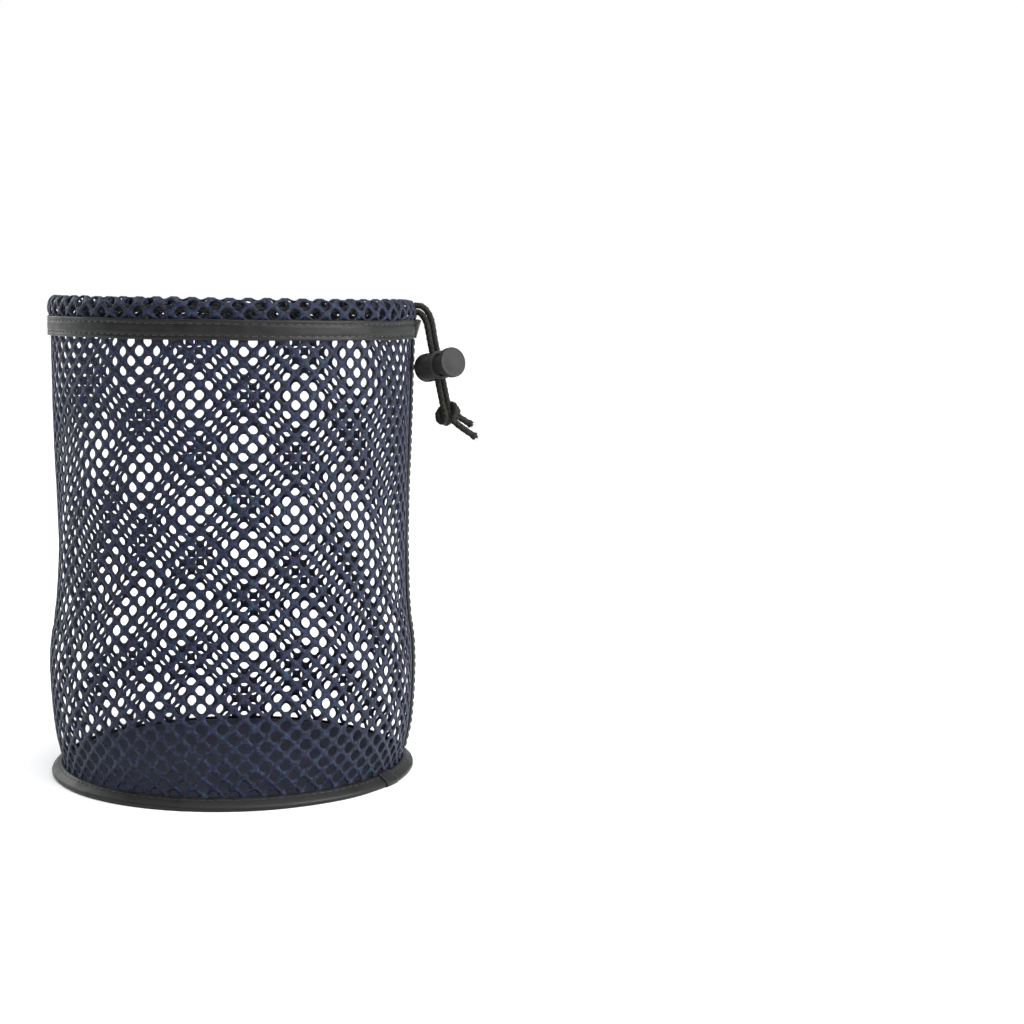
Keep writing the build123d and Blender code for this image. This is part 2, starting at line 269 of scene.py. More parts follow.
def around(angle, radius, height):
    """A point at this angle round the axis."""
    return Vector((radius * cos(angle), radius * sin(angle), height))


def drift(seed, angle, height=0.0, grain=1.0):
    """Smooth unevenness from -1 to 1 that closes on itself round the bag."""
    spot = Vector((cos(angle) * grain, sin(angle) * grain, height)) + Vector((seed, 0.0, 0.0))
    return noise.noise(spot)


def bump_at(value, middle, width):
    """A soft hump of height 1 about the middle."""
    return exp(-(((value - middle) / width) ** 2))


def bent_grid(across, along, place):
    """A sheet of quads whose corners are placed by place(share across, share along)."""
    sheet = bmesh.new()
    bmesh.ops.create_grid(sheet, x_segments=across, y_segments=along, size=0.5)
    uv = sheet.loops.layers.uv.new("Cloth")
    for face in sheet.faces:
        for loop in face.loops:
            loop[uv].uv = (loop.vert.co.x + 0.5, loop.vert.co.y + 0.5)
    for vert in sheet.verts:
        vert.co = place(vert.co.x + 0.5, vert.co.y + 0.5)
    return sheet


def thickened(sheet, thickness):
    """The sheet as a closed cloth of this thickness."""
    bmesh.ops.recalc_face_normals(sheet, faces=sheet.faces)
    bmesh.ops.solidify(sheet, geom=sheet.faces[:], thickness=thickness)
    bmesh.ops.recalc_face_normals(sheet, faces=sheet.faces)
    return sheet


def spun(profile, steps, closed):
    """A line of (radius, height) corners spun once round the axis."""
    shape = bmesh.new()
    corners = [shape.verts.new((radius, 0.0, height)) for radius, height in profile]
    edges = [shape.edges.new(pair) for pair in zip(corners, corners[1:])]
    if closed:
        edges.append(shape.edges.new((corners[-1], corners[0])))
    bmesh.ops.spin(
        shape, geom=corners + edges, cent=(0.0, 0.0, 0.0), axis=(0.0, 0.0, 1.0),
        dvec=(0.0, 0.0, 0.0), angle=tau, steps=steps, use_merge=True, use_duplicate=False,
    )
    bmesh.ops.remove_doubles(shape, verts=shape.verts, dist=1e-6)
    bmesh.ops.recalc_face_normals(shape, faces=shape.faces)
    return shape


def joined(shapes):
    """Several bmeshes as one."""
    whole = bmesh.new()
    carrier = bpy.data.meshes.new("carrier")
    for shape in shapes:
        shape.to_mesh(carrier)
        whole.from_mesh(carrier)
        shape.free()
    bpy.data.meshes.remove(carrier)
    return whole


def add_piece(name, shape, material, body, nodes=()):
    """The bmesh as a smooth piece on a body, in place of the CAD nodes named."""
    data = bpy.data.meshes.new(name)
    shape.to_mesh(data)
    shape.free()
    data.materials.append(material)
    data.shade_smooth()
    piece = bpy.data.objects.new(name, data)
    bpy.context.scene.collection.objects.link(piece)
    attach(piece, body)
    if nodes:
        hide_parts(*nodes)
    return piece


def flatten_with_rim(piece):
    """The piece gets its own copy of its mesh."""
    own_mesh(piece)


def route_line(name, points, steps=24):
    """Points along the smooth line that a cord's route gives."""
    curve = bpy.data.curves.new(name, "CURVE")
    curve.dimensions = "3D"
    curve.resolution_u = steps
    spline = curve.splines.new("NURBS")
    spline.points.add(len(points) - 1)
    for knot, point in zip(spline.points, points):
        knot.co = (*(rim_corner + Vector(point)), 1.0)
    spline.order_u = 3
    spline.use_endpoint_u = True
    holder = bpy.data.objects.new(name, curve)
    bpy.context.scene.collection.objects.link(holder)
    bpy.context.view_layer.update()
    seen = holder.evaluated_get(bpy.context.evaluated_depsgraph_get())
    line = bpy.data.meshes.new_from_object(seen)
    path = [vert.co.copy() for vert in line.vertices]
    bpy.data.objects.remove(holder)
    bpy.data.curves.remove(curve)
    bpy.data.meshes.remove(line)
    return path


def evenly(path, pitch):
    """The path again with its points this far apart."""
    line = [path[0].copy()]
    spare = 0.0
    for before, after in zip(path, path[1:]):
        span = (after - before).length
        while span > 0.0 and pitch - spare <= span:
            before = before.lerp(after, (pitch - spare) / span)
            span = (after - before).length
            line.append(before.copy())
            spare = 0.0
        spare += span
    if (path[-1] - line[-1]).length > pitch / 2:
        line.append(path[-1].copy())
    else:
        line[-1] = path[-1].copy()
    return line


def carried_frames(path):
    """Two directions square to the path at each point, carried along it without twisting."""
    frames = []
    side = None
    for index in range(len(path)):
        ahead = path[min(index + 1, len(path) - 1)] - path[max(index - 1, 0)]
        ahead.normalize()
        if side is None:
            side = ahead.orthogonal()
        side = side - ahead * side.dot(ahead)
        side.normalize()
        frames.append((side.copy(), ahead.cross(side)))
    return frames


def braided_tube(path, radius, settings, sides=20, worn_end=False):
    """A round braid: yarn bundles cross over and under each other on the way along the path."""
    line = evenly(path, settings.braid_pitch / 4)
    frames = carried_frames(line)
    last = len(line) - 1

    def place(across, along):
        index = round(along * last)
        angle = across * tau
        turn = settings.braid_lobes * angle
        advance = index * pi / 4
        weave = abs(sin((turn + advance) / 2) * cos((turn - advance) / 2))
        reach = radius - settings.braid_rise + 1.6 * settings.braid_rise * weave
        if index in (0, last):
            reach *= 0.86
        if worn_end and last - index < 6:
            reach *= 1.0 + 0.05 * (6 - last + index) + 0.14 * noise.noise(
                Vector((cos(angle) * 2.0, sin(angle) * 2.0, index * 0.7))
            )
        side, other = frames[index]
        return line[index] + side * (reach * cos(angle)) + other * (reach * sin(angle))

    tube = bent_grid(sides, last, place)
    bmesh.ops.remove_doubles(tube, verts=tube.verts, dist=1e-7)
    bmesh.ops.holes_fill(tube, edges=[edge for edge in tube.edges if edge.is_boundary], sides=0)
    bmesh.ops.recalc_face_normals(tube, faces=tube.faces)
    return tube


def stitch_row(name, spots, settings, body, material, nodes):
    """A row of separate stitches, each at its spot, with its run and its outward direction."""
    row = bmesh.new()
    for spot, run, out in spots:
        run = run.normalized()
        out = (out - run * out.dot(run)).normalized()
        turn = Matrix((run, out.cross(run), out)).transposed().to_4x4()
        size = Matrix.Diagonal((settings.stitch_length, settings.thread, settings.thread, 1.0))
        bmesh.ops.create_uvsphere(
            row, u_segments=6, v_segments=4, radius=0.5,
            matrix=Matrix.Translation(spot) @ turn @ size @ Matrix.Rotation(pi / 2, 4, "Y"),
        )
    return add_piece(name, row, material, body, nodes)


# --- Materials --------------------------------------------------------------------------------


class Surface:
    """A procedural material being put together round one Principled shader."""

    def __init__(self, name):
        self.material = bpy.data.materials.new(name)
        self.material.use_nodes = True
        self.nodes = self.material.node_tree.nodes
        self.shader = self.nodes["Principled BSDF"]

    def node(self, kind, values=(), **options):
        """A node with its options and the values of its inputs."""
        made = self.nodes.new(kind)
        for option, value in options.items():
            setattr(made, option, value)
        for socket, value in values:
            made.inputs[socket].default_value = value
        return made

    def link(self, output, entry):
        """Join a node's output to another's input."""
        self.material.node_tree.links.new(output, entry)

    def place(self, source, scale):
        """Object coordinates, or the cloth's own map, at this scale."""
        if source == "Object":
            output = self.node("ShaderNodeTexCoord").outputs["Object"]
        else:
            output = self.node("ShaderNodeUVMap", uv_map=source).outputs["UV"]
        mapping = self.node("ShaderNodeMapping", [("Scale", scale)])
        self.link(output, mapping.inputs["Vector"])
        return mapping.outputs["Vector"]

    def mottle(self, where, scale, detail):
        """Noise of this scale and detail, read at these coordinates."""
        texture = self.node("ShaderNodeTexNoise", [("Scale", scale), ("Detail", detail)])
        self.link(where, texture.inputs["Vector"])
        return texture.outputs["Fac"]

    def blend(self, factor, low, high, first, second):
        """Two colours mixed where the factor goes from low to high."""
        ramp = self.node("ShaderNodeValToRGB")
        ramp.color_ramp.elements[0].position = low
        ramp.color_ramp.elements[1].position = high
        ramp.color_ramp.elements[0].color = (*first, 1.0)
        ramp.color_ramp.elements[1].color = (*second, 1.0)
        self.link(factor, ramp.inputs["Fac"])
        return ramp.outputs["Color"]

    def finish(self, rough, sheen=0.0, specular=0.5, sheen_rough=0.5):
        """The material, with the shader's plain values set."""
        self.shader.inputs["Roughness"].default_value = rough
        self.shader.inputs["Sheen Weight"].default_value = sheen
        self.shader.inputs["Sheen Roughness"].default_value = sheen_rough
        self.shader.inputs["Specular IOR Level"].default_value = specular
        return self.material

    def raise_by(self, height, distance, strength):
        """Let the height stand out from the surface by up to this distance."""
        bump = self.node("ShaderNodeBump", [("Distance", distance), ("Strength", strength)])
        self.link(height, bump.inputs["Height"])
        self.link(bump.outputs["Normal"], self.shader.inputs["Normal"])


def tinted(colour, factor):
    """The colour made lighter or darker."""
    return tuple(channel * factor for channel in colour)


def net_yarn(colours):
    """Knitted filament yarn: small shining loops, with painted shade of deep navy between them."""
    surface = Surface("net_yarn")
    flat = surface.place("Cloth", (1.0, 1.0, 1.0))
    loops = surface.node(
        "ShaderNodeTexVoronoi", [("Scale", 1500.0), ("Randomness", 0.7)], feature="F1"
    )
    surface.link(flat, loops.inputs["Vector"])
    # painted light and shade: the lit and the shaded yarn colour, mixed in random patches
    patches = surface.mottle(flat, 700.0, 3.0)
    yarn = surface.blend(patches, 0.42, 0.68, colours.net_dark, colours.net_light)
    flecks = surface.mottle(surface.place("Object", (1.0, 1.0, 1.0)), 420.0, 2.0)
    teal = (colours.net_light[0] * 0.6, colours.net_light[1] * 1.7, colours.net_light[2] * 0.9)
    mask = surface.blend(flecks, 0.60, 0.72, (0.0,) * 3, (1.0,) * 3)
    mix = surface.node("ShaderNodeMix", [(7, (*teal, 1.0))], data_type="RGBA")
    surface.link(mask, mix.inputs[0])
    surface.link(yarn, mix.inputs[6])
    # painted shade between the loops: the yarn colour multiplied down towards each loop's edge
    deep = surface.node(
        "ShaderNodeMix", [(0, 0.75)], data_type="RGBA", blend_type="MULTIPLY"
    )
    shade = surface.blend(loops.outputs["Distance"], 0.25, 0.85, (1.0,) * 3, (0.35,) * 3)
    surface.link(mix.outputs[2], deep.inputs[6])
    surface.link(shade, deep.inputs[7])
    surface.link(deep.outputs[2], surface.shader.inputs["Base Color"])
    inverse = surface.blend(loops.outputs["Distance"], 0.0, 0.9, (1.0,) * 3, (0.0,) * 3)
    surface.raise_by(inverse, 0.00022, 0.9)
    return surface.finish(0.5, sheen=0.03, specular=0.22)


def woven_tape(colours):
    """Ribbed tape: fine ribs across it, a soft shine and pressed creases."""
    surface = Surface("woven_tape")
    place = surface.place("Object", (1.0, 1.0, 1.0))
    threads = surface.mottle(surface.place("Object", (1.0, 1.0, 0.25)), 2600.0, 2.0)
    worn = surface.mottle(place, 160.0, 4.0)
    colour = surface.blend(
        worn, 0.35, 0.75, tinted(colours.tape, 0.65), tinted(colours.tape, 1.7)
    )
    surface.link(colour, surface.shader.inputs["Base Color"])
    gloss = surface.blend(worn, 0.3, 0.8, (0.36,) * 3, (0.6,) * 3)
    surface.link(gloss, surface.shader.inputs["Roughness"])
    surface.raise_by(threads, 0.00012, 0.7)
    return surface.finish(0.45, sheen=0.02, specular=0.3, sheen_rough=0.3)


def sewing_thread(colours):
    """Twisted polyester thread."""
    surface = Surface("sewing_thread")
    twist = surface.mottle(surface.place("Object", (1.0, 1.0, 1.0)), 5200.0, 1.0)
    colour = surface.blend(
        twist, 0.4, 0.6, tinted(colours.tape, 0.6), tinted(colours.tape, 2.2)
    )
    surface.link(colour, surface.shader.inputs["Base Color"])
    surface.raise_by(twist, 0.00006, 0.6)
    return surface.finish(0.42, sheen=0.1)


def braided_cord(colours):
    """Polyester braid: fine fibres, dusty on the high yarns."""
    surface = Surface("braided_cord")
    fibres = surface.mottle(surface.place("Object", (1.0, 1.0, 0.4)), 4200.0, 3.0)
    dust = surface.mottle(surface.place("Object", (1.0, 1.0, 1.0)), 900.0, 2.0)
    colour = surface.blend(
        dust, 0.4, 0.72, tinted(colours.cord, 0.55), tinted(colours.cord, 2.3)
    )
    surface.link(colour, surface.shader.inputs["Base Color"])
    surface.raise_by(fibres, 0.00012, 0.8)
    return surface.finish(0.62, sheen=0.04, specular=0.2)


def base_cloth(colours):
    """Plain weave, deep navy, seen inside the bag and under it."""
    surface = Surface("base_cloth")
    place = surface.place("Object", (1.0, 1.0, 1.0))
    waves = []
    for direction in ("X", "Y"):
        wave = surface.node(
            "ShaderNodeTexWave",
            [("Scale", 480.0), ("Distortion", 1.2), ("Detail", 1.0), ("Detail Scale", 2.0)],
            wave_type="BANDS", bands_direction=direction,
        )
        surface.link(place, wave.inputs["Vector"])
        waves.append(wave)
    weave = surface.node("ShaderNodeMath", operation="MULTIPLY")
    surface.link(waves[0].outputs["Fac"], weave.inputs[0])
    surface.link(waves[1].outputs["Fac"], weave.inputs[1])
    cloud = surface.mottle(place, 60.0, 5.0)
    colour = surface.blend(
        cloud, 0.35, 0.7, tinted(colours.fabric, 0.75), tinted(colours.fabric, 1.3)
    )
    # painted shade between the threads and painted highlight on their crowns, following the weave
    mix = surface.node("ShaderNodeMix", [(0, 0.5)], data_type="RGBA", blend_type="MULTIPLY")
    shade = surface.blend(weave.outputs[0], 0.0, 0.7, (0.6,) * 3, (1.25,) * 3)
    surface.link(colour, mix.inputs[6])
    surface.link(shade, mix.inputs[7])
    surface.link(mix.outputs[2], surface.shader.inputs["Base Color"])
    surface.raise_by(weave.outputs[0], 0.00015, 0.8)
    return surface.finish(0.72, sheen=0.05, specular=0.12)


def lock_plastic(colours):
    """Moulded plastic with a fine satin grain, duller where it is handled."""
    surface = Surface("lock_plastic")
    place = surface.place("Object", (1.0, 1.0, 1.0))
    grain = surface.mottle(place, 6500.0, 2.0)
    wear = surface.mottle(place, 260.0, 4.0)
    gloss = surface.blend(wear, 0.35, 0.7, (0.27,) * 3, (0.42,) * 3)
    surface.link(gloss, surface.shader.inputs["Roughness"])
    colour = surface.blend(
        wear, 0.35, 0.7, tinted(colours.plastic, 0.8), tinted(colours.plastic, 1.5)
    )
    surface.link(colour, surface.shader.inputs["Base Color"])
    surface.raise_by(grain, 0.00002, 0.35)
    return surface.finish(0.33, specular=0.5)


def spring_wire():
    """Drawn spring steel."""
    surface = Surface("spring_wire")
    drawn = surface.mottle(surface.place("Object", (1.0, 1.0, 1.0)), 3000.0, 3.0)
    colour = surface.blend(drawn, 0.3, 0.7, (0.42, 0.42, 0.44), (0.62, 0.62, 0.64))
    surface.link(colour, surface.shader.inputs["Base Color"])
    surface.raise_by(drawn, 0.00001, 0.4)
    surface.shader.inputs["Metallic"].default_value = 1.0
    return surface.finish(0.3)


MATERIAL_MAKERS = {
    "net_yarn": net_yarn,
    "woven_tape": woven_tape,
    "sewing_thread": sewing_thread,
    "braided_cord": braided_cord,
    "base_cloth": base_cloth,
    "lock_plastic": lock_plastic,
}


def finish_of(name):
    """The material of this name, made the first time it is asked for."""
    ready = bpy.data.materials.get(name)
    return ready or MATERIAL_MAKERS[name](bpy.context.scene.bag_colours)


# --- Outlines taken from the frame ------------------------------------------------------------


def wall_outline(tape):
    """The net's middle line: out of the binding, round its foot and up the CAD wall."""
    outer = {}
    for vert in frame["nodes"]["mesh_wall"].data.vertices:
        radius = hypot(vert.co.x, vert.co.y)
        outward = (vert.normal.x * vert.co.x + vert.normal.y * vert.co.y) / radius
        if outward > 0.5:
            outer[round(vert.co.z, 5)] = radius
    half = (node_boxes["base_stitching"][1].z - node_boxes["base_stitching"][0].z) / 2 + 0.00025
    spots = sorted((height, radius - half) for height, radius in outer.items())
    foot = binding_point(tape, -tape.binding_width + tape.binding_half, 0.0003)
    points = [binding_point(tape, -0.0012, 0.0003), foot]
    for height, radius in spots:
        if height > foot[1] + 0.0009 and height - points[-1][1] > 0.0012:
            points.append((radius, height))
    for _ in range(2):
        middle = [
            ((a[0] + 2 * b[0] + c[0]) / 4, b[1])
            for a, b, c in zip(points[2:], points[3:], points[4:])
        ]
        points = points[:3] + middle + points[-1:]
    return Outline(points)


def binding_point(tape, along, across):
    """(radius, height) in the flange's section: along 0 is the centre of its outer fold."""
    fold = node_boxes["base_binding"][1].x - tape.binding_half
    level = tape.binding_half - 0.00025
    droop = tape.flange_droop
    return (
        fold + along * cos(droop) + across * sin(droop),
        level - along * sin(droop) + across * cos(droop),
    )


def soft_wall(angle, height):
    """How far the standing net strays from its round outline."""
    wall_top = node_boxes["mesh_wall"][1].z
    rise = min(max(height / wall_top, 0.0), 1.0)
    slack = sin(pi * min(1.0, rise * 1.02)) ** 0.7 if rise > 0.0 else 0.0
    broad = 0.0011 * drift(3.7, angle, height * 14.0, 1.6)
    small = 0.0005 * drift(8.1, angle, height * 45.0, 4.5)
    seam_side = -0.0010 * bump_at(angle_from(angle, EXIT_ANGLE), 0.0, radians(14.0))
    return slack * (broad + small) + min(1.0, rise * 8.0) * slack * seam_side


def angle_from(angle, origin):
    """The angle measured from the origin, between -pi and pi."""
    return (angle - origin + pi) % tau - pi


# --- Net --------------------------------------------------------------------------------------


def knit(columns, rows, width, height, net):
    """A flat knitted net in its middle plane: staggered round holes between ridged strands."""
    cloth = bmesh.new()
    bmesh.ops.create_grid(cloth, x_segments=columns, y_segments=rows, size=0.5)
    bmesh.ops.scale(cloth, vec=(width, height, 1.0), verts=cloth.verts)
    squares = [edge for edge in cloth.edges if not edge.is_boundary]
    bmesh.ops.poke(cloth, faces=cloth.faces[:])
    bmesh.ops.dissolve_edges(cloth, edges=squares, use_verts=False)
    cells = [face for face in cloth.faces if len(face.verts) == 4]
    bmesh.ops.bisect_edges(cloth, edges=cloth.edges[:], cuts=2)
    strands = {(round(vert.co.x, 6), round(vert.co.y, 6)) for vert in cloth.verts}
    bmesh.ops.inset_individual(cloth, faces=cells, thickness=0.0005, use_even_offset=True)
    for cell in cells:
        centre = cell.calc_center_median()
        for corner in cell.verts:
            way = corner.co - centre
            angle = atan2(way.y, way.x)
            corner.co = centre + Vector(
                (net.hole_width / 2 * cos(angle), net.hole_height / 2 * sin(angle), 0.0)
            )
    bmesh.ops.delete(cloth, geom=cells, context="FACES")
    uv = cloth.loops.layers.uv.new("Cloth")
    for face in cloth.faces:
        for loop in face.loops:
            loop[uv].uv = loop.vert.co.xy
    bmesh.ops.solidify(cloth, geom=cloth.faces[:], thickness=net.thickness)
    middle = sum(vert.co.z for vert in cloth.verts) / len(cloth.verts)
    for vert in cloth.verts:
        side = 1.0 if vert.co.z > middle else -1.0
        raised = net.ridge if (round(vert.co.x, 6), round(vert.co.y, 6)) in strands else 0.0
        vert.co.z = side * (net.thickness / 2 + raised)
    bmesh.ops.recalc_face_normals(cloth, faces=cloth.faces)
    return cloth


class BAG_OT_net_wall(Operator):
    """Knit the standing net and bend it round the wall"""

    bl_idname = "bag.net_wall"
    bl_label = "Net Wall"

    def execute(self, context):
        net = context.scene.bag_net
        outline = wall_outline(context.scene.bag_tape)
        width = tau * node_boxes["rim_tape"][1].x
        cloth = knit(net.columns, net.rows, width, outline.length, net)
        for vert in cloth.verts:
            angle = SEAM_ANGLE + tau * (vert.co.x / width + 0.5)
            distance = vert.co.y + outline.length / 2
            ends = min(1.0, distance / 0.012, (outline.length - distance) / 0.006)
            angle += net.droop_of_rows * 14.0 * ends * drift(1.3, angle, distance * 30.0, 3.0)
            distance += net.droop_of_rows * 1.6 * ends * drift(5.9, angle, distance * 34.0, 3.4)
            spot, out = outline.at(distance)
            stray = soft_wall(angle, spot.y) + vert.co.z
            vert.co = around(angle, spot.x + out.x * stray, spot.y + out.y * stray)
        piece = add_piece(
            "net_wall", cloth, finish_of("net_yarn"), "base", ("mesh_wall",)
        )
        flatten_with_rim(piece)
        return {"FINISHED"}


class BAG_OT_mouth_fold(Operator):
    """Fold the net over the cord above the rim tape"""

    bl_idname = "bag.mouth_fold"
    bl_label = "Mouth Fold"

    def execute(self, context):
        net = context.scene.bag_net
        low, high = node_boxes["mesh_casing"]
        tape_top = node_boxes["rim_tape"][1].z
        outer = high.x - NET_HALF
        inner = outer - 2 * FOLD_RADIUS
        middle = (outer + inner) / 2
        shoulder = high.z - NET_HALF - FOLD_RADIUS
        points = [(outer - 0.0011, low.z), (outer - 0.0011, tape_top - 0.0010)]
        points.append((outer - 0.0004, tape_top + 0.0006))
        points.append((outer, tape_top + 0.0020))
        turns = 14
        for turn in range(turns + 1):
            angle = pi * turn / turns
            points.append(
                (middle + FOLD_RADIUS * cos(angle), shoulder + FOLD_RADIUS * sin(angle))
            )
        points.append((inner, tape_top + 0.0020))
        points.append((inner + 0.0012, tape_top + 0.0003))
        points.append((outer - 0.0021, tape_top - 0.0014))
        points.append((outer - 0.0021, low.z))
        outline = Outline(points)
        width = tau * node_boxes["rim_tape"][1].x
        height = FOLD_ROWS * FOLD_ROW
        cloth = knit(net.fold_columns, FOLD_ROWS, width, height, net)
        first_row = tape_top - low.z + 0.0022
        for vert in cloth.verts:
            angle = SEAM_ANGLE + tau * (vert.co.x / width + 0.5)
            distance = vert.co.y + height / 2 + first_row - FOLD_ROW
            distance += 0.0004 * drift(2.2, angle, distance * 60.0, 5.0)
            spot, out = outline.at(min(distance, outline.length), 0.0006)
            puff = 0.00035 * cos(vert.co.x * tau * net.fold_columns / width)
            over = bump_at(spot.y, high.z, 0.0035)
            stray = vert.co.z * 1.25 + puff * over + 0.0003 * drift(9.4, angle, spot.y * 50.0, 4.0)
            lift = 0.0006 * drift(4.4, angle, 0.0, 1.2) * over
            pull = self.pull(angle) * bump_at(spot.y, tape_top + 0.0005, 0.0045)
            vert.co = around(
                angle, spot.x + out.x * stray + pull, spot.y + out.y * stray + lift
            )
        add_piece("mouth_fold", cloth, finish_of("net_yarn"), "rim", ("mesh_casing",))
        return {"FINISHED"}

    def pull(self, angle):
        """How far the cord drags the mouth outwards beside its exit."""
        return 0.0013 * bump_at(angle_from(angle, EXIT_ANGLE), 0.0, radians(6.5))


# --- Tapes ------------------------------------------------------------------------------------


def tape_drag(angle, share):
    """How far the rim tape is dragged outwards by the cord, more at its top edge."""
    return 0.0018 * share * bump_at(angle_from(angle, EXIT_ANGLE), 0.0, radians(6.0))


class BAG_OT_rim_tape(Operator):
    """Sew the tape round the rim, pressed in along its two stitch rows"""

    bl_idname = "bag.rim_tape"
    bl_label = "Rim Tape"

    def execute(self, context):
        tape = context.scene.bag_tape
        low, high = node_boxes["rim_tape"]
        width = high.z - low.z
        thickness = 0.0008
        rows = (low.z + tape.stitch_inset, high.z - tape.stitch_inset)
        profile = []
        steps = 18
        for step in range(steps + 1):
            height = low.z + width * step / steps
            press = sum(0.00028 * bump_at(height, row, 0.00042) for row in rows)
            edge = 0.00022 * (bump_at(height, low.z, 0.0003) + bump_at(height, high.z, 0.0003))
            profile.append((high.x - press - edge, height))
        for step in range(steps // 2 + 1):
            height = high.z - width * step / (steps // 2)
            profile.append((high.x - thickness, height))
        ring = spun(profile, 240, closed=True)
        for vert in ring.verts:
            angle = atan2(vert.co.y, vert.co.x)
            share = (vert.co.z - low.z) / width
            radius = hypot(vert.co.x, vert.co.y)
            radius += 0.6 * tape.wave * drift(6.6, angle, share * 0.8, 2.4)
            radius += 0.00012 * drift(2.9, angle, share * 3.0, 16.0) + tape_drag(angle, share)
            broad, small = drift(7.7, angle, 0.0, 3.0), drift(1.1, angle, 0.0, 9.0)
            lift = tape.wave * (0.8 * broad + 0.3 * small)
            vert.co = around(angle, radius, vert.co.z + lift)
        ends = self.joint(low, high, thickness)
        add_piece(
            "rim_ribbon", joined([ring, ends]), finish_of("woven_tape"), "rim",
            ("rim_tape",),
        )
        for name, row in zip(("rim_stitching_lower", "rim_stitching_upper"), rows):
            count = round(tau * high.x / tape.stitch_pitch)
            spots = []
            for index in range(count):
                angle = tau * index / count
                share = (row - low.z) / width
                radius = high.x - 0.00014 + 0.6 * tape.wave * drift(6.6, angle, share * 0.8, 2.4)
                radius += tape_drag(angle, share)
                height = row + tape.wave * 0.8 * drift(7.7, angle, 0.0, 3.0)
                run = Vector((-sin(angle), cos(angle), 0.06))
                spots.append((around(angle, radius, height), run, around(angle, 1.0, 0.0)))
            stitch_row(
                name.replace("stitching", "stitches"), spots, tape, "rim",
                finish_of("sewing_thread"), (name,),
            )
        return {"FINISHED"}

    def joint(self, low, high, thickness):
        """The tape's end lapped over its start beside the side seam."""
        start, reach = radians(-9.5), radians(5.5)

        def place(across, along):
            angle = start + reach * across
            height = low.z + 0.0002 + (high.z - low.z - 0.0004) * along
            step = min(1.0, min(across, 1.0 - across) * 10.0)
            radius = high.x + 0.00035 * step - 0.0002 * (1.0 - step)
            return around(angle, radius + tape_drag(angle, along), height)

        return thickened(bent_grid(12, 10, place), thickness / 2)


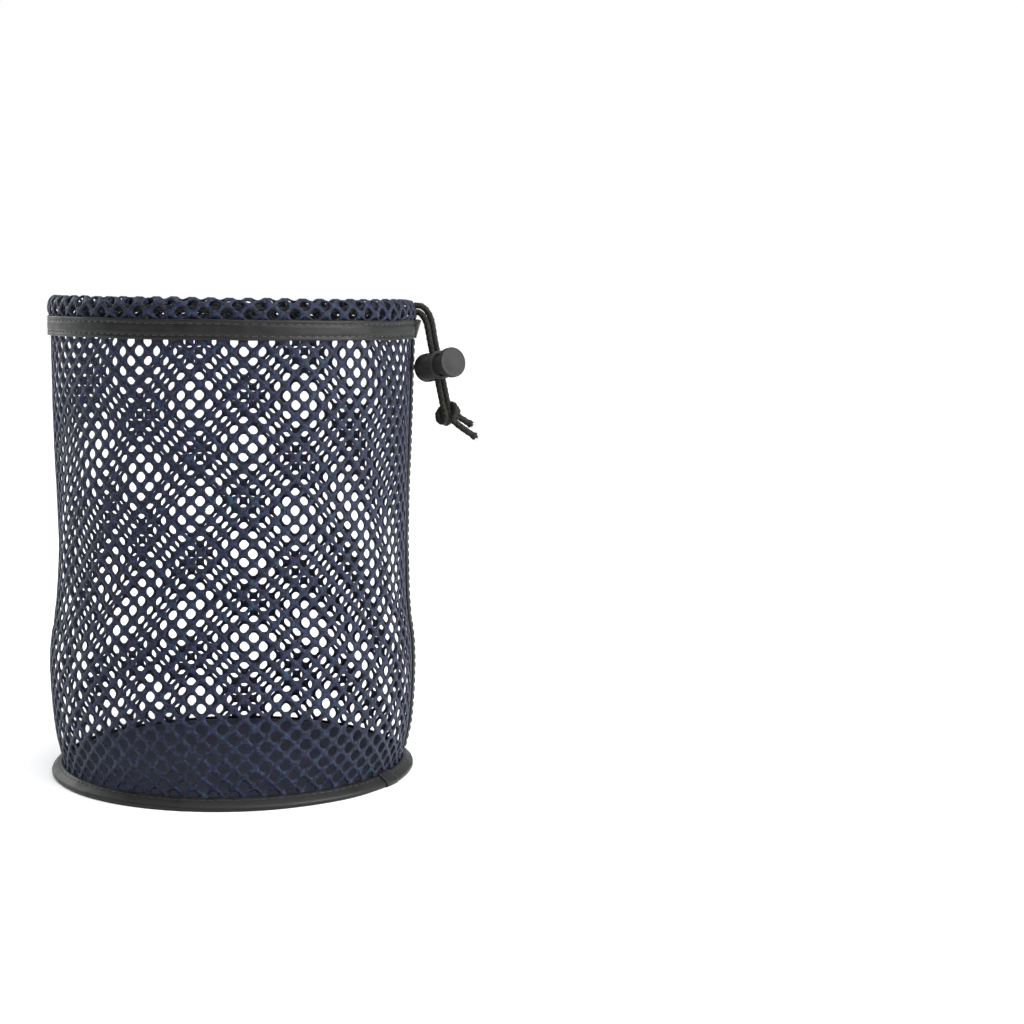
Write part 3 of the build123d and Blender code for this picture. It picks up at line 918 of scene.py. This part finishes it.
class BAG_OT_base(Operator):
    """Cut the base fabric and bind its edge to the net"""

    bl_idname = "bag.base"
    bl_label = "Base and Binding"

    def execute(self, context):
        tape = context.scene.bag_tape
        inner = tape.binding_half - tape.binding_width
        self.disc(tape, inner)
        profile = self.section(tape, inner, 0.0)
        ring = spun([binding_point(tape, *spot) for spot in profile], 288, closed=True)
        self.settle(ring, tape)
        lap = self.lap(tape, inner)
        add_piece(
            "base_ribbon", joined([ring, lap]), finish_of("woven_tape"), "base",
            ("base_binding",),
        )
        count = round(tau * node_boxes["base_stitching"][1].x / tape.stitch_pitch)
        radius, height = binding_point(tape, inner + tape.stitch_inset, tape.binding_half)
        spots = []
        for index in range(count):
            angle = tau * index / count
            run = Vector((-sin(angle), cos(angle), 0.03))
            out = around(angle, sin(tape.flange_droop), cos(tape.flange_droop))
            spot = around(angle, radius, height) + out * 0.00006
            spots.append((self.settled(spot, tape), run, out))
        stitch_row(
            "base_stitches", spots, tape, "base", finish_of("sewing_thread"), ("base_stitching",)
        )
        return {"FINISHED"}

    def section(self, tape, inner, grow):
        """The folded tape's section, as (along, across) corners."""
        half = tape.binding_half + grow
        slot = tape.binding_half - tape.tape_layer
        corners = [(inner - inner * step / 6, half) for step in range(6)]
        for step in range(9):
            angle = pi / 2 - pi * step / 8
            corners.append((half * cos(angle), half * sin(angle)))
        corners += [(inner * step / 6, -half) for step in range(1, 7)]
        corners += [(inner, -slot), (0.0, -slot)]
        corners += [(slot * 0.7, 0.0), (0.0, slot), (inner, slot)]
        return corners

    def settled(self, spot, tape):
        """A point of the binding where the sewn edge really lies."""
        angle = atan2(spot.y, spot.x)
        radius = hypot(spot.x, spot.y)
        pivot, level = binding_point(tape, tape.binding_half - tape.binding_width, 0.0)
        broad, small = drift(12.5, angle, 0.0, 2.1), drift(3.3, angle, 0.0, 8.0)
        tilt = radians(5.0) * broad + radians(2.0) * small
        out, up = radius - pivot, spot.z - level
        radius = pivot + out * cos(tilt) - up * sin(tilt)
        height = level + out * sin(tilt) + up * cos(tilt)
        radius += tape.wave * 0.7 * drift(5.2, angle, 0.0, 3.3) * min(1.0, max(0.0, out / 0.004))
        reach = node_boxes["base_binding"][1].x + 0.0006
        return around(angle, min(radius, reach), max(height, 0.0))

    def settle(self, ring, tape):
        """Lay the whole binding where the sewn edge really lies."""
        for vert in ring.verts:
            vert.co = self.settled(vert.co, tape)

    def lap(self, tape, inner):
        """The binding's end, folded under and lapped over its start at the front right."""
        section = self.section(tape, inner - 0.0002, 0.0004)
        profile = [binding_point(tape, *spot) for spot in section]
        outer_corners = 16  # over the top, round the fold and a step back below
        outside = Outline(profile[:outer_corners])
        start, reach = radians(-36.0), radians(7.0)

        def place(across, along):
            spot = outside.point(outside.length * along)
            return self.settled(around(start + reach * across, *spot), tape)

        sleeve = thickened(bent_grid(10, 28, place), 0.0003)
        for vert in sleeve.verts:
            vert.co.z = max(vert.co.z, 0.0)
        return sleeve

    def disc(self, tape, inner):
        """The round of fabric, dished a little, its edge inside the binding."""
        slot = tape.binding_half - tape.tape_layer
        level = -slot + 0.00033
        sewn = binding_point(tape, -0.0002, level)
        edge = binding_point(tape, inner - 0.0006, level)
        sag = node_boxes["base_disc"][0].z + 0.0003
        rings = [(0.0, sag)]
        flat = 0.4
        steps = 22
        for step in range(1, steps + 1):
            share = step / steps
            bend = max(0.0, (share - flat) / (1.0 - flat))
            rings.append((edge[0] * share, sag + (edge[1] - sag) * bend**2))
        rings.append(sewn)
        half = 0.0003
        top = [(radius, height + half) for radius, height in rings]
        under = [(radius, max(height - half, 0.0)) for radius, height in reversed(rings)]
        cloth = spun(top + under, 144, closed=False)
        for vert in cloth.verts:
            angle = atan2(vert.co.y, vert.co.x)
            share = hypot(vert.co.x, vert.co.y) / edge[0]
            if share < 0.96:
                stray = 0.0007 * share * drift(15.0, angle, share * 2.2, 1.6)
                vert.co.z = max(vert.co.z + stray, 0.0)
        add_piece(
            "base_fabric", cloth, finish_of("base_cloth"), "base", ("base_disc",)
        )


class BAG_OT_side_seam(Operator):
    """Bind the net's side seam and stitch it down"""

    bl_idname = "bag.side_seam"
    bl_label = "Side Seam"

    def execute(self, context):
        tape = context.scene.bag_tape
        outline = wall_outline(tape)
        low, high = node_boxes["seam_binding"]
        angles = [atan2(v.co.y, v.co.x) for v in frame["nodes"]["seam_binding"].data.vertices]
        start, reach = min(angles) - radians(1.6), max(angles) - min(angles) + radians(1.6)
        first = 0.0
        while outline.point(first).y < low.z + 0.0004:
            first += 0.0005
        span = outline.length - first - (node_boxes["mesh_wall"][1].z - high.z)

        def place(across, along):
            distance = first + span * along
            angle = start + reach * across + radians(0.8) * drift(21.0, 0.0, distance * 30.0)
            spot, out = outline.at(distance)
            welt = 0.0011 * max(0.0, 1.0 - (2.0 * across - 1.0) ** 2) ** 0.5
            pucker = 0.00012 * sin(distance * tau / 0.0031) * across
            stray = soft_wall(angle, spot.y) + 0.00075 + welt + pucker
            return around(angle, spot.x + out.x * stray, spot.y + out.y * stray)

        strip = thickened(bent_grid(14, 170, place), 0.0004)
        ribbon = add_piece(
            "seam_ribbon", strip, finish_of("woven_tape"), "base", ("seam_binding",)
        )
        flatten_with_rim(ribbon)
        spots = []
        count = round(span / tape.stitch_pitch)
        for index in range(count):
            along = (index + 0.5) / count
            spot = place(0.3, along)
            run = place(0.3, min(1.0, along + 0.01)) - place(0.3, along - 0.01)
            out = around(atan2(spot.y, spot.x), 1.0, 0.0)
            spots.append((spot + out * 0.0001, run, out))
        row = stitch_row(
            "seam_stitches", spots, tape, "base", finish_of("sewing_thread"), ("seam_stitching",)
        )
        flatten_with_rim(row)
        return {"FINISHED"}


# --- Cord, knot and lock ----------------------------------------------------------------------


def slide_axis(name):
    """The direction of one of the lock's joints."""
    return Vector(next(j["axis"] for j in frame["joints"] if j["name"] == name)).normalized()


def knot_strand(route, tail):
    """One strand's route through the knot: beside its fellow all the way, then its own tail."""
    foot = (Vector(OUTER_END[-1]) + Vector(INNER_END[-1])) / 2
    start = Vector(route[-1])
    above = start + (Vector(route[-2]) - start).normalized() * 0.0008
    points = [above, start]
    before = foot.copy()
    offset = start - foot
    gap = offset.length
    for index, turn in enumerate(KNOT_TURNS):
        spot = foot + Vector(turn)
        following = foot + Vector(KNOT_TURNS[min(index + 1, len(KNOT_TURNS) - 1)])
        ahead = (following - before).normalized()
        offset = offset - ahead * offset.dot(ahead)
        offset = offset.normalized() * (gap * PAIR_CLOSENESS)
        points.append(spot + offset)
        before = spot
    points += [Vector(point) for point in tail]
    return points


class BAG_OT_cord_knot(Operator):
    """Tie the two strands into one knot with two short tails"""

    bl_idname = "bag.cord_knot"
    bl_label = "Cord Knot"

    def execute(self, context):
        cord = context.scene.bag_cord
        strands = []
        for number, (route, tail) in enumerate(((OUTER_END, SHORT_TAIL), (INNER_END, LONG_TAIL))):
            path = route_line("knot_route", knot_strand(route, tail), 16)
            strands.append(
                braided_tube(path, cord.diameter * STRAND_SHARE, cord, sides=18, worn_end=True)
            )
            strands.append(self.frayed(path, cord, number))
        add_piece(
            "knot_and_tails", joined(strands), finish_of("braided_cord"), "rim",
            ("cord_knot", "cord_tail_long", "cord_tail_short"),
        )
        return {"FINISHED"}

    def frayed(self, path, cord, number):
        """Loose yarn tips at a cut end."""
        tips = bmesh.new()
        end = path[-1]
        ahead = (path[-1] - path[-4]).normalized()
        side = ahead.orthogonal().normalized()
        count = 11
        for index in range(count):
            turn = Matrix.Rotation(tau * index * 0.382 + number, 3, ahead)
            share = ((index * 7 + 3 * number) % count) / count
            out = turn @ side
            root = end + out * (cord.diameter * 0.42 * share ** 0.5) - ahead * 0.0004
            lean = (ahead + out * (0.35 * share)).normalized()
            length = 0.0011 + 0.0005 * ((index * 5) % 4) / 3
            spin = lean.to_track_quat("Z", "Y").to_matrix().to_4x4()
            bmesh.ops.create_cone(
                tips, cap_ends=True, segments=5, radius1=0.00022, radius2=0.00007, depth=length,
                matrix=Matrix.Translation(root + lean * length / 2) @ spin,
            )
        return tips


class BAG_OT_cord_ends(Operator):
    """Lay the cord's two free ends from the channel through the lock to the knot"""

    bl_idname = "bag.cord_ends"
    bl_label = "Cord Ends"

    def execute(self, context):
        cord = context.scene.bag_cord
        material = finish_of("braided_cord")
        for name, route in (("outer", OUTER_END), ("inner", INNER_END)):
            path = route_line("cord_route", route)
            tube = braided_tube(path, cord.diameter / 2, cord)
            piece = add_piece(
                f"free_end_{name}", tube, material, "rim", (f"cord_end_{name}",)
            )
            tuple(path[0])
        return {"FINISHED"}


class BAG_OT_drawcord(Operator):
    """Run the cord round inside the mouth"""

    bl_idname = "bag.drawcord"
    bl_label = "Drawcord"

    def execute(self, context):
        cord = context.scene.bag_cord
        low, high = node_boxes["drawcord_loop"]
        height = (low.z + high.z) / 2
        radius = high.y - cord.diameter / 2
        start = atan2(INNER_END[0][1], rim_corner.x + INNER_END[0][0])
        end = tau + atan2(OUTER_END[0][1], rim_corner.x + OUTER_END[0][0])
        steps = 360
        path = []
        for step in range(steps + 1):
            angle = start + (end - start) * step / steps
            path.append(around(angle, radius, height))
        tube = braided_tube(path, cord.diameter / 2, cord, sides=14)
        add_piece(
            "channel_cord", tube, finish_of("braided_cord"), "rim", ("drawcord_loop",)
        )
        return {"FINISHED"}


class BAG_OT_cord_lock(Operator):
    """Mould the cord lock: a cup, and a plunger with a domed button"""

    bl_idname = "bag.cord_lock"
    bl_label = "Cord Lock"

    def execute(self, context):
        cord = context.scene.bag_cord
        push = slide_axis("button_press")
        down = slide_axis("lock_slide")
        axis = -push
        last = (Vector(OUTER_END[-2]) + Vector(INNER_END[-2])) / 2
        drop = 0.0094  # down the cords, from their last bend to the barrel's axis
        centre = rim_corner + last + down * drop
        across = axis.cross(down).normalized()
        turn = Matrix((across, axis.cross(across), axis)).transposed().to_4x4()
        place = Matrix.Translation(centre) @ turn
        material = finish_of("lock_plastic")
        reach = cord.barrel_radius
        cup = self.turned(
            [(0.0, -0.0082), (reach - 0.0010, -0.0082), (reach - 0.00029, -0.00791),
             (reach, -0.0072), (reach, 0.0020), (reach - 0.0001, 0.0022), (reach, 0.0024),
             (reach, 0.0027), (reach - 0.0003, 0.0030), (0.00425, 0.0030), (0.00425, -0.0069),
             (0.0, -0.0069)],
        )
        stem, head = 0.00415, cord.head_radius
        plunger = self.turned(
            [(0.0, -0.0021), (stem, -0.0021), (stem, 0.0080), (stem + 0.0003, 0.0083),
             (head - 0.0001, 0.0083), (head, 0.0084), (head, 0.0100), (head - 0.00012, 0.01038),
             (head - 0.0004, 0.0105), (head - 0.00065, 0.01046), (head - 0.0009, 0.01035),
             (head - 0.0013, 0.01042), (head - 0.0024, 0.01090), (head - 0.0039, 0.01125),
             (0.0, 0.0114)],
        )
        slots = {"lock_cup": (-0.0046, 0.00125), "lock_button": (-0.00125, 0.00445)}
        for name, shape, body, node in (
            ("lock_cup", cup, "lock", "lock_barrel"),
            ("lock_button", plunger, "button", "lock_plunger"),
        ):
            back, front = slots[name]
            piece = add_piece(name, shape, material, body, (node,))
            self.cut_slot(piece, back, front)
            piece.data.transform(place)
            piece.data.update()
        frame["nodes"]["lock_spring"].data.materials.clear()
        frame["nodes"]["lock_spring"].data.materials.append(spring_wire())
        return {"FINISHED"}

    def turned(self, profile):
        """A part turned about its axis, with its hard edges softened."""
        shape = spun(profile, 64, closed=False)
        sharp = [
            edge for edge in shape.edges
            if len(edge.link_faces) == 2 and edge.calc_face_angle() > radians(50.0)
        ]
        bmesh.ops.bevel(
            shape, geom=sharp, offset=0.00012, segments=2, profile=0.5, affect="EDGES",
            material=-1,
        )
        return shape

    def cut_slot(self, piece, back, front):
        """The slot for both strands, right through from side to side."""
        width, length, rounding = 0.0053, 0.030, 0.0008
        block = bmesh.new()
        bmesh.ops.create_cube(block, size=1.0)
        bmesh.ops.scale(block, vec=(width, length, front - back), verts=block.verts)
        bmesh.ops.translate(block, vec=(0.0, 0.0, (front + back) / 2), verts=block.verts)
        corners = [e for e in block.edges if abs((e.verts[0].co - e.verts[1].co).y) > length / 2]
        bmesh.ops.bevel(
            block, geom=corners, offset=rounding, segments=5, profile=0.5, affect="EDGES",
            material=-1,
        )
        data = bpy.data.meshes.new("slot_block")
        block.to_mesh(data)
        block.free()
        tool = bpy.data.objects.new("slot_block", data)
        bpy.context.scene.collection.objects.link(tool)
        cut = piece.modifiers.new("slot", "BOOLEAN")
        cut.operation = "DIFFERENCE"
        cut.object = tool
        cut.solver = "EXACT"
        bpy.context.view_layer.update()
        ready = bpy.data.meshes.new_from_object(
            piece.evaluated_get(bpy.context.evaluated_depsgraph_get())
        )
        piece.modifiers.clear()
        piece.data = ready
        bpy.data.objects.remove(tool)
        piece.data.shade_smooth()
        piece.data.set_sharp_from_angle(angle=radians(35.0))


# --- Stage ------------------------------------------------------------------------------------


class BAG_OT_stage(Operator):
    """Set the camera, the pale floor and the soft studio light"""

    bl_idname = "bag.stage"
    bl_label = "Stage"

    def execute(self, context):
        stage = context.scene.bag_stage
        self.camera(context, stage)
        self.floor()
        self.lights(context, stage)
        context.scene.view_settings.view_transform = "Standard"
        return {"FINISHED"}

    def camera(self, context, stage):
        """Stand the camera and aim it by heading, pitch and roll."""
        forward = Vector((
            sin(stage.heading) * cos(stage.pitch),
            cos(stage.heading) * cos(stage.pitch),
            -sin(stage.pitch),
        ))
        level = Vector((cos(stage.heading), -sin(stage.heading), 0.0))
        upright = level.cross(forward)
        right = level * cos(stage.roll) + upright * sin(stage.roll)
        up = upright * cos(stage.roll) - level * sin(stage.roll)
        data = bpy.data.cameras.new("studio_camera")
        data.lens = stage.lens
        data.sensor_width = 36.0
        data.clip_start, data.clip_end = 0.01, 50.0
        camera = bpy.data.objects.new("studio_camera", data)
        turn = Matrix((right, up, -forward)).transposed().to_4x4()
        camera.matrix_world = Matrix.Translation(Vector(stage.place)) @ turn
        context.scene.collection.objects.link(camera)
        context.scene.camera = camera

    def floor(self):
        """A wide pale floor that belongs to the stage, not to the bag."""
        disc = bmesh.new()
        bmesh.ops.create_circle(disc, cap_ends=True, segments=96, radius=8.0)
        data = bpy.data.meshes.new("studio_floor")
        disc.to_mesh(data)
        disc.free()
        surface = Surface("studio_floor")
        surface.shader.inputs["Base Color"].default_value = (0.93, 0.93, 0.93, 1.0)
        data.materials.append(surface.finish(0.9, specular=0.0))
        floor = bpy.data.objects.new("studio_floor", data)
        bpy.context.scene.collection.objects.link(floor)

    def lights(self, context, stage):
        """Surroundings that the camera sees white, and the studio's lamps."""
        world = bpy.data.worlds.new("studio_world")
        world.use_nodes = True
        nodes, links = world.node_tree.nodes, world.node_tree.links
        seen = nodes["Background"]
        seen.inputs["Color"].default_value = (1.0, 1.0, 1.0, 1.0)
        seen.inputs["Strength"].default_value = 1.0
        lit = nodes.new("ShaderNodeBackground")
        lit.inputs["Color"].default_value = (0.97, 0.985, 1.0, 1.0)
        lit.inputs["Strength"].default_value = stage.sky
        path = nodes.new("ShaderNodeLightPath")
        mix = nodes.new("ShaderNodeMixShader")
        links.new(path.outputs["Is Camera Ray"], mix.inputs["Fac"])
        links.new(lit.outputs["Background"], mix.inputs[1])
        links.new(seen.outputs["Background"], mix.inputs[2])
        links.new(mix.outputs["Shader"], nodes["World Output"].inputs["Surface"])
        context.scene.world = world
        self.lamp("SUN", "overhead", stage.key, (0.35, -0.45, 1.6), angle=radians(70.0))
        self.lamp("AREA", "right_front", 9.0, (0.9, -0.75, 0.75), size=0.7)
        self.lamp("AREA", "left_back", 5.0, (-0.8, 0.7, 0.6), size=0.8)
        self.lamp("AREA", "right_side", 4.5, (0.88, -0.36, 0.35), size=0.30)

    def lamp(self, kind, name, power, spot, size=0.0, angle=0.0):
        """One lamp aimed at the middle of the bag."""
        data = bpy.data.lights.new(name, kind)
        data.energy = power
        if kind == "SUN":
            data.angle = angle
        else:
            data.size = size
        lamp = bpy.data.objects.new(name, data)
        lamp.location = spot
        aim = Vector((0.0, 0.0, (cad_low.z + cad_high.z) / 2)) - Vector(spot)
        lamp.rotation_mode = "QUATERNION"
        lamp.rotation_quaternion = aim.to_track_quat("-Z", "Y")
        bpy.context.scene.collection.objects.link(lamp)


# --- Panel and registration -------------------------------------------------------------------


STEPS = (
    BAG_OT_stage,
    BAG_OT_cord_knot,
    BAG_OT_cord_lock,
    BAG_OT_cord_ends,
    BAG_OT_drawcord,
    BAG_OT_net_wall,
    BAG_OT_mouth_fold,
    BAG_OT_rim_tape,
    BAG_OT_base,
    BAG_OT_side_seam,
)

SETTINGS = {
    "bag_net": NetSettings,
    "bag_tape": TapeSettings,
    "bag_cord": CordSettings,
    "bag_colours": ColourSettings,
    "bag_stage": StageSettings,
}


class BAG_PT_make(Panel):
    """The bag's sizes, colours and making steps"""

    bl_idname = "BAG_PT_make"
    bl_label = "Mesh Ball Bag"
    bl_space_type = "VIEW_3D"
    bl_region_type = "UI"
    bl_category = "Ball Bag"

    def draw(self, context):
        for step in STEPS:
            self.layout.operator(step.bl_idname)
        for name, group in SETTINGS.items():
            box = self.layout.box()
            box.label(text=group.__doc__)
            for prop in group.__annotations__:
                box.prop(getattr(context.scene, name), prop)


def register():
    for group in SETTINGS.values():
        bpy.utils.register_class(group)
    for name, group in SETTINGS.items():
        setattr(bpy.types.Scene, name, PointerProperty(type=group))
    for step in STEPS:
        bpy.utils.register_class(step)
    bpy.utils.register_class(BAG_PT_make)


def unregister():
    bpy.utils.unregister_class(BAG_PT_make)
    for step in reversed(STEPS):
        bpy.utils.unregister_class(step)
    for name in SETTINGS:
        delattr(bpy.types.Scene, name)
    for group in reversed(SETTINGS.values()):
        bpy.utils.unregister_class(group)


def main():
    register()
    bpy.ops.bag.stage()
    bpy.ops.bag.cord_knot()
    bpy.ops.bag.cord_lock()
    bpy.ops.bag.cord_ends()
    bpy.ops.bag.drawcord()
    bpy.ops.bag.net_wall()
    bpy.ops.bag.mouth_fold()
    bpy.ops.bag.rim_tape()
    bpy.ops.bag.base()
    bpy.ops.bag.side_seam()


if __name__ == "__main__":
    main()
